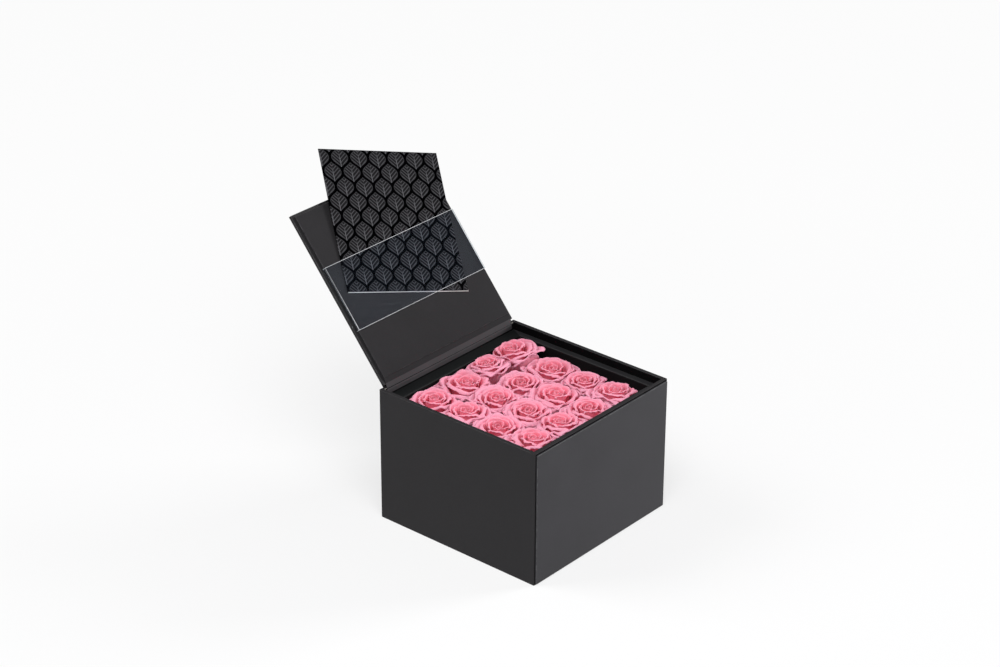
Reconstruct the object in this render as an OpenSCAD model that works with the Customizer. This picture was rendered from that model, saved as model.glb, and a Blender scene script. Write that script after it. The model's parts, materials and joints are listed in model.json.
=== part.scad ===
// Square gift box for sixteen preserved roses, with a hinged inset lid, shown open.
// Origin: centre of the base, on the surface the box stands on. X runs along the front
// face, Y runs from the front to the hinge at the back, Z is up.

/* [Box] */
// Width over the side walls
box_w = 175; // [160:1:190]
// Depth from the front fascia to the back sheet
box_d = 173; // [160:1:190]
// Height to the rim
box_h = 124; // [110:1:140]
// Thickness of the greyboard in the walls and the floor
board = 3; // [2.5:0.1:3.2]
// Thickness of the black wrapping paper
paper = 0.3; // [0.2:0.05:0.35]
// Radius of the paper round the upright corners
corner_r = 0.9; // [0.6:0.1:1.5]

/* [Front fascia] */
// Thickness of the fascia board, without its paper
fascia_board_t = 1; // [0.8:0.1:2]
// Bare border between the fascia and the edges of the front wall
fascia_border = 1.4; // [1:0.1:3]

/* [Insert] */
// Depth of the recess above the insert, which takes the closed lid
recess = 7.2; // [7:0.1:12]
// Width of the shelf at the front and the sides
shelf_w = 10; // [8:0.5:14]
// Width of the shelf at the back
back_shelf_w = 12; // [8:0.5:16]
// Thickness of the insert's board
insert_t = 2.6; // [2:0.1:3.4]
// Height of the foam that holds the stems
foam_h = 62; // [40:1:75]

/* [Lid] */
// Angle that the lid is opened from closed
open_deg = 130; // [0:1:130]
// Thickness of the lid's greyboard
lid_board_t = 2.3; // [2:0.1:2.4]
// Thickness of the pad's board, without its paper
pad_board_t = 1.6; // [1.2:0.1:1.7]
// Gap between the closed lid and the walls
lid_gap = 0.45; // [0.3:0.05:1]
// Border between the edge of the lid and its pad
pad_border = 2.4; // [2:0.1:5]
// Length of the lid left clear of the pad at the hinge
pad_setback = 8; // [7:0.5:12]
// Distance of the hinge line in from the back
hinge_in = 2; // [1.8:0.1:2.4]
// Distance of the hinge line below the rim
hinge_down = 0.3; // [0.3:0.05:0.5]

/* [Band and card] */
// Height of the clear band across the pad
band_h = 60; // [40:1:70]
// Distance of the band's lower edge from the hinge line
band_from = 53; // [45:1:70]
// Thickness of the clear band
band_t = 0.3; // [0.2:0.05:0.4]
// Side of the square card
card_side = 130; // [110:1:136]
// Thickness of the card
card_t = 1.3; // [0.8:0.1:1.4]
// Distance that the card is drawn to the right of the lid's middle
card_x = 13; // [0:1:14]
// Distance of the drawn card's middle from the hinge line
card_from = 124.5; // [120:0.5:126]
// Angle that the drawn card is turned
card_turn = 20; // [5:1:20]

/* [Roses] */
// Distance between the middles of two roses, across
pitch_x = 37; // [36:0.5:38]
// Distance between the middles of two roses, front to back
pitch_y = 35.8; // [35:0.1:36.5]
// Height of the middle of a bloom's top above the base
bloom_top = 115; // [110:0.5:116]
// Diameter of a stem
stem_d = 3; // [2:0.5:4]

/* [Hidden] */
$fn = 64;
wall = board + 2 * paper;
fascia_t = fascia_board_t + paper;
front_y = -box_d / 2 + fascia_t;
back_y = box_d / 2;
side_x = box_w / 2;
in_x = side_x - wall;
in_front = front_y + wall;
in_back = back_y - wall;
floor_top = 2 * paper + board;
shelf_top = box_h - recess;
well_x = in_x - shelf_w;
well_front = in_front + shelf_w;
well_back = in_back - back_shelf_w;
base_colour = "#1b1a1c";
board_colour = "#8c8579";
wrap_colour = "#232225";
fascia_colour = "#2c2b2f";
insert_colour = "#1f1e21";
foam_colour = "#3f5a3a";
stem_colour = "#5d7a45";
pad_colour = "#2a292c";
liner_colour = "#353438";
film_colour = "#b9c2cc";
card_colour = "#3a393d";
petal_colour = "#f08fa8";

turn_in = 45;
turn_under = 15;
fascia_foot = 0.8;
fascia_corner = 1;
back_border = 1.5;
back_foot = 1;
insert_nose = 1.6;
foam_fit = 0.5;
stem_fit = 0.1;
stem_depth = 40;
hinge_flap = 0.5;
liner_t = 0.5;
liner_fit = 0.3;
liner_drop = 0.2;

hinge_y = back_y - hinge_in;
hinge_z = box_h - hinge_down;
lid_t = lid_board_t + 2 * paper;
pad_t = pad_board_t + 2 * paper;
lid_half = in_x - lid_gap;
lid_setback = 2.5;
lid_from = hinge_y - lid_setback;
lid_to = in_front + lid_gap;
pad_half = lid_half - pad_border;
pad_from = hinge_y - pad_setback;
pad_to = lid_to + pad_border;
pad_z = box_h - lid_t - pad_t;
slip = 0.1;
card_z = pad_z - slip - card_t;
band_z = card_z - slip - band_t;
rim_back = box_h - 2 * paper;

// Rows from the back to the front, each from the left to the right:
// radius of the bloom, then how far it leans off its place in x and y
blooms = [
    [[17, 0.5, 0], [19, 1, -1.8], [16, 0, 0.5], [19, -1, -1.8]],
    [[17.5, 0.5, 0], [16, 0, -1.6], [16.5, -1.5, 0], [19, -1.5, -4.4]],
    [[17.5, 0.5, 0], [17, 0, 0], [18.5, 0, 0], [15, 0.5, -2.8]],
    [[17, 1, 0], [17, 0.5, 0], [17, 0, 0], [17.3, 0.3, 0]]
];
well_mid_y = (well_front + well_back) / 2;

// A bloom of radius 18: distances from its stem and heights below the tip of its bud
bloom_r = 18;
bloom_turn = 47;
hip_section = [[0, -29.7], [3, -29.7], [4.5, -27], [10, -24], [14.6, -18.9], [13.6, -16.4],
               [3.4, -13], [2.9, -3], [1.8, -0.7], [0.7, 0], [0, -0.5]];
petals = 13;
golden_angle = 137.5;
petal_t = 0.9;
petal_curl = 0.8;
outer_foot = [11.6, -17.4];
outer_rim = [18, -6];
outer_sweep = 104;
inner_foot = [4, -14];
inner_rim = [4.4, -0.5];
inner_sweep = 170;
belly_out = 0.62;
belly_up = 0.5;

function mix(a, b, t) = a + (b - a) * t;
function two(n) = n < 10 ? str("0", n) : str(n);
function rose_name(n) = str("rose_", two(n));

// A plate between two opposite corners
module plate(a, b) {
    translate(a)
        cube(b - a);
}

// A rectangle with round corners between two opposite corners
module round_rect(a, b, r) {
    translate([a[0] + r, a[1]])
        square([b[0] - a[0] - 2 * r, b[1] - a[1]]);
    translate([a[0], a[1] + r])
        square([b[0] - a[0], b[1] - a[1] - 2 * r]);
    for (x = [a[0] + r, b[0] - r], y = [a[1] + r, b[1] - r])
        translate([x, y])
            circle(r);
}

// A closed lid's parts are drawn in place over the recess, and swung open from there
module swing_open() {
    translate([0, hinge_y, hinge_z])
        rotate([-open_deg, 0, 0])
            translate([0, -hinge_y, -hinge_z])
                children();
}

module base_sheet() {
    inset = turn_under;
    color(base_colour)
        plate([-side_x + inset, front_y + inset, 0], [side_x - inset, back_y - inset, paper]);
}

module floor_board() {
    color(board_colour)
        plate([-in_x, in_front, paper], [in_x, in_back, paper + board]);
}

module side_board(mirrored) {
    color(board_colour)
        mirror([mirrored ? 1 : 0, 0, 0])
            plate([-side_x + paper, front_y + paper, paper],
                  [-side_x + paper + board, back_y - 2 * paper, box_h - paper]);
}

module left_board() {
    side_board(false);
}

module right_board() {
    side_board(true);
}

module front_board() {
    x = side_x - paper - board;
    color(board_colour)
        plate([-x, front_y + paper, paper], [x, front_y + paper + board, box_h - paper]);
}

module back_board() {
    x = side_x - paper - board;
    color(board_colour)
        plate([-x, in_back + paper, paper], [x, back_y - 2 * paper, rim_back - paper]);
}

// One sheet: up the outside, over the rim, down the inside and round under the floor
module tray_wrap() {
    out_a = [-side_x, front_y];
    out_b = [side_x, back_y - paper];
    core_a = [-side_x + paper, front_y + paper];
    core_b = [side_x - paper, back_y - 2 * paper];
    color(wrap_colour)
        difference() {
            linear_extrude(box_h)
                round_rect(out_a, out_b, corner_r);
            // the walls' boards
            difference() {
                plate([core_a[0], core_a[1], paper], [core_b[0], core_b[1], box_h - paper]);
                plate([-in_x - paper, in_front - paper, -1],
                      [in_x + paper, in_back + paper, box_h + 1]);
            }
            // the inside, with the turned-in edge left above and the floor's own space below
            plate([-in_x, in_front, paper], [in_x, in_back, box_h + 1]);
            plate([-in_x - 2 * paper, in_front - 2 * paper, paper],
                  [in_x + 2 * paper, in_back + 2 * paper, box_h - turn_in]);
            plate([-side_x + turn_under, front_y + turn_under, -1],
                  [side_x - turn_under, back_y - turn_under, 1]);
            // the back rim lies lower, under the hinge
            plate([-in_x, in_back - 1, rim_back], [in_x, back_y + 1, box_h + 1]);
        }
}

// The back sheet covers the back and folds over the back rim as far as the hinge line
module back_sheet() {
    x = side_x - back_border;
    color(wrap_colour) {
        plate([-x, back_y - paper, back_foot], [x, back_y, rim_back]);
        plate([-in_x, hinge_y, rim_back], [in_x, back_y, rim_back + paper]);
    }
}

module fascia_outline(inset) {
    x = side_x - fascia_border - inset;
    translate([0, front_y, 0])
        rotate([90, 0, 0])
            linear_extrude(fascia_t - inset)
                round_rect([-x, fascia_foot + inset], [x, box_h - fascia_border - inset],
                           fascia_corner - inset);
}

module fascia_board() {
    color(board_colour)
        fascia_outline(paper);
}

module fascia_wrap() {
    color(fascia_colour)
        difference() {
            fascia_outline(0);
            fascia_outline(paper);
        }
}

// Section of the insert: a shelf from the wall at 0 to the well, and the well's wall down
// to the floor, joined by a round nose
module insert_section(width) {
    nose = insert_nose;
    difference() {
        union() {
            translate([0, shelf_top - insert_t])
                square([width - nose, insert_t]);
            translate([width - insert_t, floor_top])
                square([insert_t, shelf_top - nose - floor_top]);
            translate([width - nose, shelf_top - nose])
                circle(nose);
        }
        translate([-1, 0])
            square([1, box_h]);
    }
}

// A length of the insert along X from the wall at y = 0, with mitred ends
module insert_run(width, half, other) {
    inner = half - other;
    difference() {
        rotate([90, 0, 90])
            translate([0, 0, -half])
                linear_extrude(2 * half)
                    insert_section(width);
        for (s = [-1, 1])
            linear_extrude(box_h)
                polygon([[s * half, 0], [s * inner, width], [s * inner, width + 1],
                         [s * (half + 1), width + 1], [s * (half + 1), 0]]);
    }
}

module insert_back() {
    color(insert_colour)
        translate([0, in_back, 0])
            mirror([0, 1, 0])
                insert_run(back_shelf_w, in_x, shelf_w);
}

module insert_front() {
    color(insert_colour)
        translate([0, in_front, 0])
            insert_run(shelf_w, in_x, shelf_w);
}

module insert_side() {
    length = in_back - in_front;
    color(insert_colour)
        difference() {
            translate([-in_x, in_front, 0])
                rotate([90, 0, 180])
                    mirror([1, 0, 0])
                        linear_extrude(length)
                            insert_section(shelf_w);
            linear_extrude(box_h) {
                polygon([[-in_x - 1, in_back + 1], [-in_x - 1, in_back], [-in_x, in_back],
                         [-well_x, well_back], [-well_x + 1, well_back], [-well_x + 1, in_back + 1]]);
                polygon([[-in_x - 1, in_front - 1], [-in_x - 1, in_front], [-in_x, in_front],
                         [-well_x, well_front], [-well_x + 1, well_front],
                         [-well_x + 1, in_front - 1]]);
            }
        }
}

module insert_left() {
    insert_side();
}

module insert_right() {
    mirror([1, 0, 0])
        insert_side();
}

function rose_place(row, col) = [
    (col - 1.5) * pitch_x + blooms[row][col][1],
    well_mid_y + (1.5 - row) * pitch_y + blooms[row][col][2]
];

// Height of the underside of a bloom's hip, where its stem ends
function bloom_foot(row, col) = bloom_top + hip_section[0][1] * blooms[row][col][0] / bloom_r;

module foam_block() {
    fit = foam_fit;
    color(foam_colour)
        difference() {
            plate([-well_x + fit, well_front + fit, floor_top], [well_x - fit, well_back - fit, foam_h]);
            for (row = [0:3], col = [0:3])
                translate([rose_place(row, col)[0], rose_place(row, col)[1], foam_h - stem_depth])
                    cylinder(d = stem_d + 2 * stem_fit, h = stem_depth + 1);
        }
}

module rose_stems() {
    color(stem_colour)
        for (row = [0:3], col = [0:3])
            translate([rose_place(row, col)[0], rose_place(row, col)[1], foam_h - stem_depth])
                cylinder(d = stem_d, h = bloom_foot(row, col) - foam_h + stem_depth);
}

// Section of a petal, as distance from the stem and height: its foot stands in the hip, its
// belly swells out, and its lip curls over. t runs from 0 at the outermost petal to 1 at the
// innermost.
function petal_section(t) =
    let (foot = mix(outer_foot, inner_foot, t))
    let (rim = mix(outer_rim, inner_rim, t))
    let (belly = [mix(foot[0], rim[0], belly_out), mix(foot[1], rim[1], belly_up)])
    [
        foot,
        belly,
        [rim[0] - petal_t, rim[1]],
        [rim[0], rim[1] - petal_curl * (1 - t)],
        [belly[0] + petal_t, belly[1] - petal_t / 2],
        [foot[0] + petal_t, foot[1] - petal_t / 3]
    ];

// One bloom: petals set round a tight bud by the golden angle, each a step further in than the
// last, all standing in a rounded hip. Its widest radius is r, and the bud ends at height 0.
module bloom(r) {
    scale(r / bloom_r) {
        rotate_extrude()
            polygon(hip_section);
        for (k = [0:petals - 1]) {
            t = k / (petals - 1);
            sweep = mix(outer_sweep, inner_sweep, t);
            rotate([0, 0, k * golden_angle - sweep / 2])
                rotate_extrude(angle = sweep)
                    polygon(petal_section(t));
        }
    }
}

module rose(n) {
    row = floor((n - 1) / 4);
    col = (n - 1) % 4;
    color(petal_colour)
        translate([rose_place(row, col)[0], rose_place(row, col)[1], bloom_top])
            rotate([0, 0, n * bloom_turn])
                bloom(blooms[row][col][0]);
}

module lid_board() {
    color(board_colour)
        swing_open()
            plate([-lid_half + paper, lid_to + paper, box_h - paper - lid_board_t],
                  [lid_half - paper, lid_from, box_h - paper]);
}

// The lid's sheet: over the outer face and round the edges, with a flap to the hinge line
module lid_wrap() {
    color(wrap_colour)
        swing_open()
            difference() {
                plate([-lid_half, lid_to, box_h - lid_t], [lid_half, hinge_y - hinge_flap, box_h]);
                plate([-lid_half + paper, lid_to + paper, box_h - paper - lid_board_t],
                      [lid_half - paper, lid_from, box_h - paper]);
                plate([-lid_half + turn_under, lid_to + turn_under, box_h - lid_t - 1],
                      [lid_half - turn_under, lid_from, box_h - 2 * paper]);
                plate([-lid_half - 1, lid_from, box_h - lid_t - 1], [lid_half + 1, hinge_y, box_h - paper]);
            }
}

module pad_board() {
    color(board_colour)
        swing_open()
            plate([-pad_half + paper, pad_to + paper, pad_z + paper],
                  [pad_half - paper, pad_from - paper, pad_z + paper + pad_board_t]);
}

module pad_wrap() {
    color(pad_colour)
        swing_open()
            difference() {
                plate([-pad_half, pad_to, pad_z], [pad_half, pad_from, pad_z + pad_t]);
                plate([-pad_half + paper, pad_to + paper, pad_z + paper],
                      [pad_half - paper, pad_from - paper, pad_z + paper + pad_board_t]);
            }
}

// The leaf of the liner that lies on the lid between the pad and the hinge
module hinge_liner() {
    color(liner_colour)
        swing_open()
            translate([-pad_half, 0, 0])
                rotate([90, 0, 90])
                    linear_extrude(2 * pad_half)
                        polygon([[pad_from, pad_z + liner_fit], [pad_from, box_h - lid_t],
                                 [lid_from - liner_fit, box_h - lid_t],
                                 [lid_from - liner_fit, box_h - lid_t - liner_t]]);
}

// The leaf of the liner that is glued down the inside of the back wall
module liner_foot() {
    color(liner_colour)
        plate([-pad_half, in_back - paper, shelf_top], [pad_half, in_back, rim_back - liner_drop]);
}

// The clear band: across the pad, and round its two sides down to the lid
module clear_band() {
    far = hinge_y - band_from - band_h;
    near = hinge_y - band_from;
    color(film_colour, 0.35)
        swing_open()
            difference() {
                plate([-pad_half - band_t, far, band_z], [pad_half + band_t, near, box_h - lid_t]);
                plate([-pad_half, far - 1, band_z + band_t], [pad_half, near + 1, box_h]);
            }
}

module card() {
    color(card_colour)
        swing_open()
            translate([card_x, hinge_y - card_from, card_z])
                rotate([0, 0, card_turn])
                    translate([-card_side / 2, -card_side / 2, 0])
                        cube([card_side, card_side, card_t]);
}

base_sheet();
floor_board();
front_board();
back_board();
left_board();
right_board();
tray_wrap();
back_sheet();
fascia_board();
fascia_wrap();
insert_front();
insert_back();
insert_left();
insert_right();
foam_block();
rose_stems();
lid_board();
lid_wrap();
pad_board();
pad_wrap();
hinge_liner();
liner_foot();
clear_band();
card();
for (n = [1:16])
    rose(n);
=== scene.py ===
import bpy
import bmesh
import json
import math
import random
from mathutils import Matrix, Vector, noise
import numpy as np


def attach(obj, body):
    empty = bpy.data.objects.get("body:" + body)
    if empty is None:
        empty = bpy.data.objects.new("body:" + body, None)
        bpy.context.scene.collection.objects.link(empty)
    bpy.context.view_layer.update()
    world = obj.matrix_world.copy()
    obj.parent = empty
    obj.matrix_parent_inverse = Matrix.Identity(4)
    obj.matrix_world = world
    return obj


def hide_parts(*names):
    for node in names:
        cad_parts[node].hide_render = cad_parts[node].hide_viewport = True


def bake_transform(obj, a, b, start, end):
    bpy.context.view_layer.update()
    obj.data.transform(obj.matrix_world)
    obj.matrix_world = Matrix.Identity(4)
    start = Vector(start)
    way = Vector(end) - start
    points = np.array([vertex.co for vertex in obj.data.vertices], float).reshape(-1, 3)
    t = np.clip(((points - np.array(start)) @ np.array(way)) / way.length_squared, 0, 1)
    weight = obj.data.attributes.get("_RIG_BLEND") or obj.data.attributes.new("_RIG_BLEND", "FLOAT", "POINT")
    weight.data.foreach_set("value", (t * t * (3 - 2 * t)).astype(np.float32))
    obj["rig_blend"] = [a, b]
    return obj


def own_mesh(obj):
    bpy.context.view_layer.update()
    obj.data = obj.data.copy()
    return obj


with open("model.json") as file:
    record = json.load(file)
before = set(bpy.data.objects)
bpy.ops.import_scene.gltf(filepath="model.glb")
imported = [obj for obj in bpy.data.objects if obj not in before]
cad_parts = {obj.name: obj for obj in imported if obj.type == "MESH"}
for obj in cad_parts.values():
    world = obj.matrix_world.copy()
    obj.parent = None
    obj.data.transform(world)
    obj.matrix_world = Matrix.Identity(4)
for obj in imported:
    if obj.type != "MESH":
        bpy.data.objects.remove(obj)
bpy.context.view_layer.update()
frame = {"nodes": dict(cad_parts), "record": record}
print("frame loaded:", len(frame["nodes"]), "nodes")

# the pieces are written in millimetres, the camera and the lamps in metres
mm = 0.001

# Helpers shared by the pieces


def makePiece(name, bm, materials, body, replaced):
    # body is None for a piece that crosses the joint
    mesh = bpy.data.meshes.new(name)
    bm.to_mesh(mesh)
    bm.free()
    piece = bpy.data.objects.new(name, mesh)
    bpy.context.collection.objects.link(piece)
    for material in materials:
        mesh.materials.append(material)
    if body:
        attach(piece, body)
    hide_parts(*replaced)
    return piece


def copyOfNode(node):
    # a CAD node's mesh with its loose triangles joined into whole faces
    bm = bmesh.new()
    bm.from_mesh(frame["nodes"][node].data)
    bm.faces.layers.float.new("fold")
    bmesh.ops.remove_doubles(bm, verts=bm.verts, dist=0.01 * mm)
    bmesh.ops.dissolve_limit(bm, angle_limit=math.radians(1), verts=bm.verts, edges=bm.edges)
    return bm


def roundEdges(bm, edges, radius):
    # the new faces are marked so that the paper can look rubbed there, lighter both from wear and from a
    # painted highlight along the fold
    made = bmesh.ops.bevel(bm, geom=edges, offset=radius, offset_type="OFFSET",
                           segments=4, profile=0.5, affect="EDGES", material=-1,
                           clamp_overlap=True)
    layer = bm.faces.layers.float["fold"]
    for face in made["faces"]:
        face[layer] = 1.0
        face.smooth = True


def sharpEdges(bm, minDegrees=40):
    return [e for e in bm.edges
            if len(e.link_faces) == 2 and e.calc_face_angle(0) > math.radians(minDegrees)]


def drawLine(bm, points):
    # vertices joined one after another, the section that a sheet is drawn out from
    row = [bm.verts.new(point) for point in points]
    return row, [bm.edges.new(pair) for pair in zip(row, row[1:])]


def drawOut(bm, edges):
    made = bmesh.ops.extrude_edge_only(bm, edges=edges)["geom"]
    return ([g for g in made if isinstance(g, bmesh.types.BMVert)],
            [g for g in made if isinstance(g, bmesh.types.BMEdge)])


def thicken(bm, thickness):
    bmesh.ops.solidify(bm, geom=bm.faces[:], thickness=thickness)
    bmesh.ops.recalc_face_normals(bm, faces=bm.faces)


def mixed(first, second, share):
    return first + (second - first) * share


def turnAll(bm, matrix):
    bmesh.ops.transform(bm, matrix=matrix, verts=bm.verts)


# The lid's pieces are worked on closed, over the recess, and then swung open
hinge = {"y": 84.5 * mm, "z": 123.7 * mm, "open": math.radians(130)}
swingOpen = (Matrix.Translation((0, hinge["y"], hinge["z"]))
             @ Matrix.Rotation(-hinge["open"], 4, "X")
             @ Matrix.Translation((0, -hinge["y"], -hinge["z"])))
swingShut = swingOpen.inverted()

# Camera

cameraView = {"place": (-1.5455, -1.2889, 1.1887), "right": (0.6499, -0.7600, 0.0040),
              "up": (0.3404, 0.2958, 0.8925), "lens": 96.9, "sensor": 36, "reach": 40}


def addCamera():
    data = bpy.data.cameras.new("camera")
    data.lens = cameraView["lens"]
    data.sensor_width = cameraView["sensor"]
    data.clip_end = cameraView["reach"]
    camera = bpy.data.objects.new("camera", data)
    bpy.context.collection.objects.link(camera)
    right = Vector(cameraView["right"]).normalized()
    back = right.cross(Vector(cameraView["up"])).normalized()
    up = back.cross(right)
    turn = Matrix((right, up, back)).transposed().to_4x4()
    camera.matrix_world = Matrix.Translation(cameraView["place"]) @ turn
    bpy.context.scene.camera = camera


addCamera()

# Node helpers


def feed(tree, socket, value):
    # links another node's output, or sets a plain value
    if isinstance(value, bpy.types.NodeSocket):
        tree.links.new(value, socket)
    else:
        socket.default_value = value


def addMath(tree, operation, first, second=0.5, third=None, clamp=False):
    node = tree.nodes.new("ShaderNodeMath")
    node.operation = operation
    node.use_clamp = clamp
    for socket, value in zip(node.inputs, (first, second, third)):
        if value is not None:
            feed(tree, socket, value)
    return node.outputs[0]


def addMix(tree, factor, first, second):
    node = tree.nodes.new("ShaderNodeMix")
    node.data_type = "RGBA"
    for name, value in (("Factor_Float", factor), ("A_Color", first), ("B_Color", second)):
        socket = next(s for s in node.inputs if s.identifier == name)
        feed(tree, socket, (*value, 1) if isinstance(value, tuple) else value)
    return next(s for s in node.outputs if s.identifier == "Result_Color")


def mixShaders(tree, share, first, second):
    mix = tree.nodes.new("ShaderNodeMixShader")
    for socket, value in zip(mix.inputs, (share, first, second)):
        feed(tree, socket, value)
    return mix.outputs[0]


def addNoise(tree, vector, scale, detail, roughness):
    node = tree.nodes.new("ShaderNodeTexNoise")
    for name, value in (("Vector", vector), ("Scale", scale), ("Detail", detail),
                        ("Roughness", roughness)):
        feed(tree, node.inputs[name], value)
    return node.outputs["Fac"]


def addRange(tree, value, low, high, toLow=0.0, toHigh=1.0):
    node = tree.nodes.new("ShaderNodeMapRange")
    for name, end in (("Value", value), ("From Min", low), ("From Max", high),
                      ("To Min", toLow), ("To Max", toHigh)):
        feed(tree, node.inputs[name], end)
    return node.outputs["Result"]


def addPatches(tree, vector, scale, detail, roughness, low=0.3, high=0.7, most=1.0):
    # noise with its middle values spread out
    return addRange(tree, addNoise(tree, vector, scale, detail, roughness), low, high, 0, most)


def addStretch(tree, vector, scale):
    node = tree.nodes.new("ShaderNodeMapping")
    node.inputs["Scale"].default_value = scale
    tree.links.new(vector, node.inputs["Vector"])
    return node.outputs[0]


def addBump(tree, shader, height, strength, depth):
    bump = tree.nodes.new("ShaderNodeBump")
    bump.inputs["Strength"].default_value = strength
    bump.inputs["Distance"].default_value = depth * mm
    tree.links.new(height, bump.inputs["Height"])
    tree.links.new(bump.outputs["Normal"], shader.inputs["Normal"])


def objectPoint(tree):
    return tree.nodes.new("ShaderNodeTexCoord").outputs["Object"]


def readUv(tree, name):
    # the map as a vector, then its two directions
    uv = tree.nodes.new("ShaderNodeUVMap")
    uv.uv_map = name
    spread = tree.nodes.new("ShaderNodeSeparateXYZ")
    tree.links.new(uv.outputs[0], spread.inputs[0])
    return uv.outputs[0], spread.outputs["X"], spread.outputs["Y"]


def readMark(tree, name):
    node = tree.nodes.new("ShaderNodeAttribute")
    node.attribute_name = name
    return node.outputs["Fac"]


def newMaterial(name):
    material = bpy.data.materials.new(name)
    material.use_nodes = True
    return material, material.node_tree, material.node_tree.nodes["Principled BSDF"]


def setSurface(tree, shader):
    tree.links.new(shader, tree.nodes["Material Output"].inputs["Surface"])


# Lamps, world and floor

studio = {"ambient": 0.17, "backdrop": 0.98, "floorColor": (0.74, 0.74, 0.745), "floorHalf": 14,
          "glowNear": 0.64, "glowFar": 0.92, "near": 0.12, "far": 0.8, "floorWhite": 0.985,
          "aim": (0, 0, 0.1)}
lamps = [
    {"name": "softboxTop", "place": (-1.4, -1.3, 2.8), "size": 2.4, "power": 108},
    {"name": "softboxBack", "place": (-1.7, 2.4, 2.8), "size": 2.2, "power": 78},
    {"name": "softboxFront", "place": (3.47, -2.01, 1.34), "size": 1.5, "power": 138},
]


def addLamps():
    for lamp in lamps:
        data = bpy.data.lights.new(lamp["name"], "AREA")
        data.shape = "SQUARE"
        data.size = lamp["size"]
        data.energy = lamp["power"]
        light = bpy.data.objects.new(lamp["name"], data)
        bpy.context.collection.objects.link(light)
        light.location = lamp["place"]
        aim = Vector(studio["aim"]) - light.location
        light.rotation_euler = aim.to_track_quat("-Z", "Y").to_euler()


def addWorld():
    # the camera sees a near-white backdrop, and a dimmer one lights the object
    world = bpy.data.worlds.new("studio")
    bpy.context.scene.world = world
    world.use_nodes = True
    tree = world.node_tree
    tree.nodes.clear()
    out = tree.nodes.new("ShaderNodeOutputWorld")
    light = tree.nodes.new("ShaderNodeBackground")
    shown = tree.nodes.new("ShaderNodeBackground")
    path = tree.nodes.new("ShaderNodeLightPath")
    light.inputs["Strength"].default_value = studio["ambient"]
    shown.inputs["Color"].default_value = (studio["backdrop"],) * 3 + (1,)
    mix = mixShaders(tree, path.outputs["Is Camera Ray"], light.outputs[0], shown.outputs[0])
    tree.links.new(mix, out.inputs[0])


def showsPlain(tree):
    # 1 where the camera sees a surface, or sees it in a mirror or through glass
    path = tree.nodes.new("ShaderNodeLightPath")
    seen = path.outputs["Is Camera Ray"]
    for other in ("Is Glossy Ray", "Is Transmission Ray"):
        seen = addMath(tree, "MAXIMUM", seen, path.outputs[other])
    return seen


def addFloor():
    bm = bmesh.new()
    bmesh.ops.create_grid(bm, x_segments=1, y_segments=1, size=studio["floorHalf"])
    mesh = bpy.data.meshes.new("floor")
    bm.to_mesh(mesh)
    bm.free()
    floor = bpy.data.objects.new("floor", mesh)
    bpy.context.collection.objects.link(floor)
    material = bpy.data.materials.new("floor")
    material.use_nodes = True
    tree = material.node_tree
    tree.nodes.clear()
    out = tree.nodes.new("ShaderNodeOutputMaterial")
    card = tree.nodes.new("ShaderNodeBsdfDiffuse")
    glow = tree.nodes.new("ShaderNodeEmission")
    card.inputs["Color"].default_value = (*studio["floorColor"], 1)
    glow.inputs["Color"].default_value = (studio["floorWhite"],) * 3 + (1,)
    # the floor runs out to white away from the object
    away = tree.nodes.new("ShaderNodeVectorMath")
    away.operation = "LENGTH"
    tree.links.new(objectPoint(tree), away.inputs[0])
    fade = addRange(tree, away.outputs["Value"], studio["near"], studio["far"],
                    studio["glowNear"], studio["glowFar"])
    fade.node.interpolation_type = "SMOOTHSTEP"
    share = addMath(tree, "MULTIPLY", showsPlain(tree), fade)
    tree.links.new(mixShaders(tree, share, card.outputs[0], glow.outputs[0]), out.inputs[0])
    mesh.materials.append(material)


addLamps()
addWorld()
addFloor()
bpy.context.scene.view_settings.view_transform = "Standard"
print("camera, lamps and floor set")

# Papers. One shader group makes the grain that all of them share.

# each noise is its scale, detail and roughness
grain = {"fine": (2600, 3, 0.6), "fibre": (900, 4, 0.65), "fibreStretch": (1, 1, 3.2),
         "fineShare": 0.4, "fibreShare": 0.6, "mottle": (26, 5, 0.6), "foldWearSheen": (180, 4, 0.7),
         "foldWearSheenFrom": 0.35, "foldWearSheenTo": 0.65, "fleckFrom": 0.35, "fleckTo": 0.7,
         "smoother": -0.04, "rougher": 0.05, "depth": 0.05}


def newGroup(name, inputs, outputs):
    group = bpy.data.node_groups.new(name, "ShaderNodeTree")
    for label, kind, value in inputs:
        socket = group.interface.new_socket(label, in_out="INPUT", socket_type=kind)
        if value is not None:
            socket.default_value = value
    for label, kind in outputs:
        group.interface.new_socket(label, in_out="OUTPUT", socket_type=kind)
    return group, group.nodes.new("NodeGroupInput"), group.nodes.new("NodeGroupOutput")


def placeGroup(tree, group, values):
    node = tree.nodes.new("ShaderNodeGroup")
    node.node_tree = group
    for label, value in values.items():
        feed(tree, node.inputs[label], value)
    return node


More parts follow.
